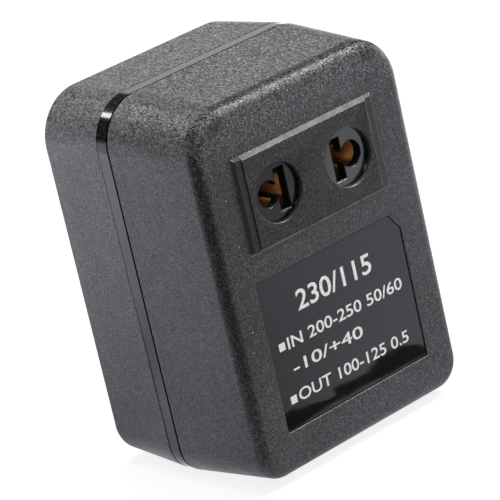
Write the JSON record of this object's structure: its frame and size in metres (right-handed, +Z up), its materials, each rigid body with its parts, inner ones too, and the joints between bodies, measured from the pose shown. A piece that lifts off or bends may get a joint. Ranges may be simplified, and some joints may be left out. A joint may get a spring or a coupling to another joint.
{
  "type": "travel voltage converter",
  "caption": "Plug-in travel voltage converter: moulded split case with keyhole sockets on a raised front panel, a label pocket, a band at the seam and round plug pins behind.",
  "frame": {"origin": "midway between the plug pins, on the flat rear face that rests on the wall outlet", "axes": "+Y into the wall, along the plug pins; +Z up; +X to the right as seen from the front"},
  "size_m": [0.048, 0.0577, 0.0666],
  "materials": {
    "shell": "fine spark-eroded grain, smooth on the raised panel, glossy on the band at the seam",
    "label": "glossy film",
    "contact": "bare copper alloy strip",
    "pin": "nickel-plated brass, polished",
    "sleeve": "satin",
    "insulator": "natural nylon",
    "screw": "zinc-plated",
    "core": "varnished silicon steel sheets",
    "pad": "closed-cell foam",
    "bobbin": "glass-filled nylon",
    "winding": "enamelled copper wire",
    "tape": "polyester film tape",
    "terminal": "tinned",
    "fuse": "plain can with tinned wires",
    "pin_lead": "PVC-covered stranded wire",
    "contact_lead": "PVC-covered stranded wire"
  },
  "bodies": {
    "root": {"front_shell": "shell", "rear_shell": "shell", "rating_label": "label", "socket_contact_left": "contact", "socket_contact_right": "contact", "contact_cover": "insulator", "contact_cover_screws": "screw", "plug_pin_left": "pin", "plug_pin_right": "pin", "pin_sleeve_left": "sleeve", "pin_sleeve_right": "sleeve", "pin_retainer": "insulator", "pin_retainer_screws": "screw", "core_e_stack": "core", "core_i_stack": "core", "core_pads": "pad", "bobbin": "bobbin", "common_winding": "winding", "layer_tape": "tape", "series_winding": "winding", "outer_tape": "tape", "bobbin_terminals": "terminal", "thermal_fuse": "fuse", "pin_lead_left": "pin_lead", "pin_lead_right": "pin_lead", "contact_lead_left": "contact_lead", "contact_lead_right": "contact_lead", "shell_screws": "screw"}
  },
  "joints": []
}
